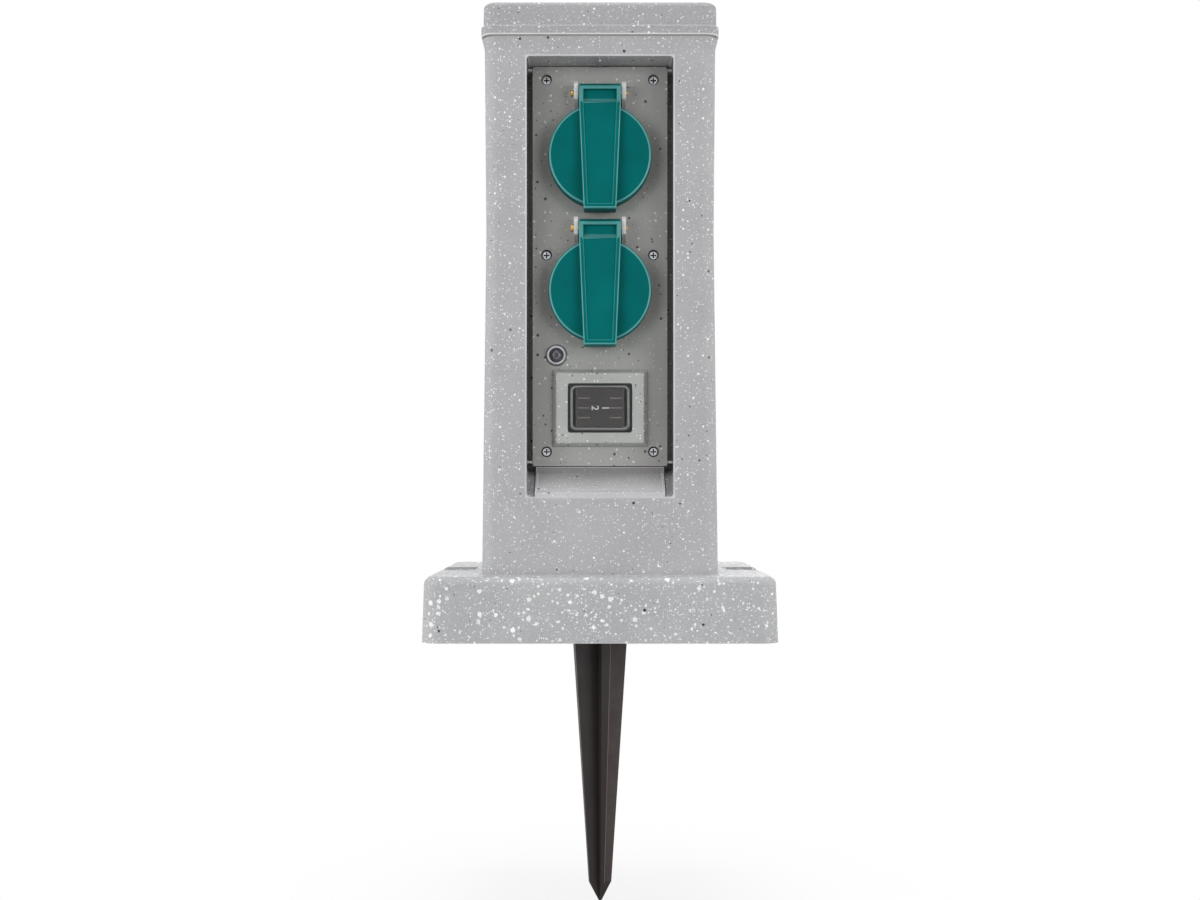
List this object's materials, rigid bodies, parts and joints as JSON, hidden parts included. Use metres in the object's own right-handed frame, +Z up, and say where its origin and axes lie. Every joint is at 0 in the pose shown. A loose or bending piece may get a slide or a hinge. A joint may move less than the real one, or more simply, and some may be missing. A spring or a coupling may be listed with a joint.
{
  "type": "garden socket post",
  "caption": "Square stone-look garden post on a spiked foot, with sprung-flap mains sockets, a dusk sensor and a covered rocker switch in a recessed panel.",
  "frame": {"origin": "centre of the foot's underside, midway between the two ground bolt holes; the spike is below it", "axes": "+Z up along the column, -Y out of the socket panel's front, +X to the right seen from the front"},
  "size_m": [0.1544, 0.1544, 0.4117],
  "materials": {
    "stone": "granite-look moulding with white flakes and dark specks",
    "panel_plastic": "grey speckled moulding, fine grain",
    "frame_plastic": "light grey speckled moulding",
    "cup_plastic": "grey heat-resistant moulding",
    "flap_plastic": "satin teal moulding",
    "spike_plastic": "black-brown satin moulding",
    "black_plastic": "black satin moulding",
    "rocker_plastic": "dark satin moulding with white marks",
    "clear_cover": "clear flexible cover",
    "box_plastic": "light grey moulding",
    "block_plastic": "natural white moulding",
    "rubber": "black moulded rubber",
    "zinc_steel": "bright zinc plate",
    "spring_steel": "drawn wire",
    "bright_metal": "polished",
    "brass": "drawn and turned brass",
    "dark_lens": "dark smoked lens",
    "cell_ceramic": "ceramic disc with tinned legs",
    "board": "green lacquered laminate",
    "relay_blue": "blue moulding",
    "wire_brown": "brown insulation",
    "wire_blue": "blue insulation",
    "wire_green": "green and yellow insulation"
  },
  "bodies": {
    "post": {"base_foot": "stone", "ground_spike": "spike_plastic", "spike_bolt": "zinc_steel", "spike_washer": "zinc_steel", "spike_nut": "zinc_steel", "base_screws": "zinc_steel", "column_shell": "stone", "drip_apron": "stone", "cap_gasket": "rubber", "top_cap": "stone", "socket_panel": "panel_plastic", "panel_screws": "zinc_steel", "inner_box": "box_plastic", "box_gasket": "rubber", "upper_socket_cup": "cup_plastic", "lower_socket_cup": "cup_plastic", "upper_cup_screws": "zinc_steel", "lower_cup_screws": "zinc_steel", "upper_contacts": "brass", "lower_contacts": "brass", "upper_earth_clip": "brass", "lower_earth_clip": "brass", "upper_hinge_pin": "brass", "lower_hinge_pin": "brass", "upper_flap_spring": "spring_steel", "lower_flap_spring": "spring_steel", "sensor_bezel": "bright_metal", "sensor_lens": "dark_lens", "sensor_nut": "zinc_steel", "photocell": "cell_ceramic", "switch_frame": "frame_plastic", "switch_body": "black_plastic", "switch_boot": "clear_cover", "switch_terminals": "brass", "switch_leads": "wire_blue", "control_board": "board", "board_screws": "zinc_steel", "relay": "relay_blue", "terminal_block": "block_plastic", "terminal_screws": "zinc_steel", "cable_gland": "black_plastic", "gland_seal": "rubber", "gland_cap": "black_plastic", "gland_nut": "black_plastic", "live_wires": "wire_brown", "neutral_wires": "wire_blue", "earth_wires": "wire_green"},
    "upper_flap_body": {"upper_flap": "flap_plastic", "upper_flap_seal": "rubber"},
    "lower_flap_body": {"lower_flap": "flap_plastic", "lower_flap_seal": "rubber"},
    "rocker_body": {"switch_rocker": "rocker_plastic"}
  },
  "joints": [
    {"name": "upper_flap_hinge", "type": "hinge", "parent": "post", "child": "upper_flap_body", "pos_m": [0, -0.04005, 0.2446], "axis": [-1, 0, 0], "range_deg": [0, 95], "stiffness_Nm_per_rad": 0.006, "springref_deg": -57.3},
    {"name": "lower_flap_hinge", "type": "hinge", "parent": "post", "child": "lower_flap_body", "pos_m": [0, -0.04005, 0.1838], "axis": [-1, 0, 0], "range_deg": [0, 95], "stiffness_Nm_per_rad": 0.006, "springref_deg": -57.3},
    {"name": "rocker_pivot", "type": "hinge", "parent": "post", "child": "rocker_body", "pos_m": [0, -0.03145, 0.1029], "axis": [0, 0, 1], "range_deg": [-11, 11]}
  ]
}
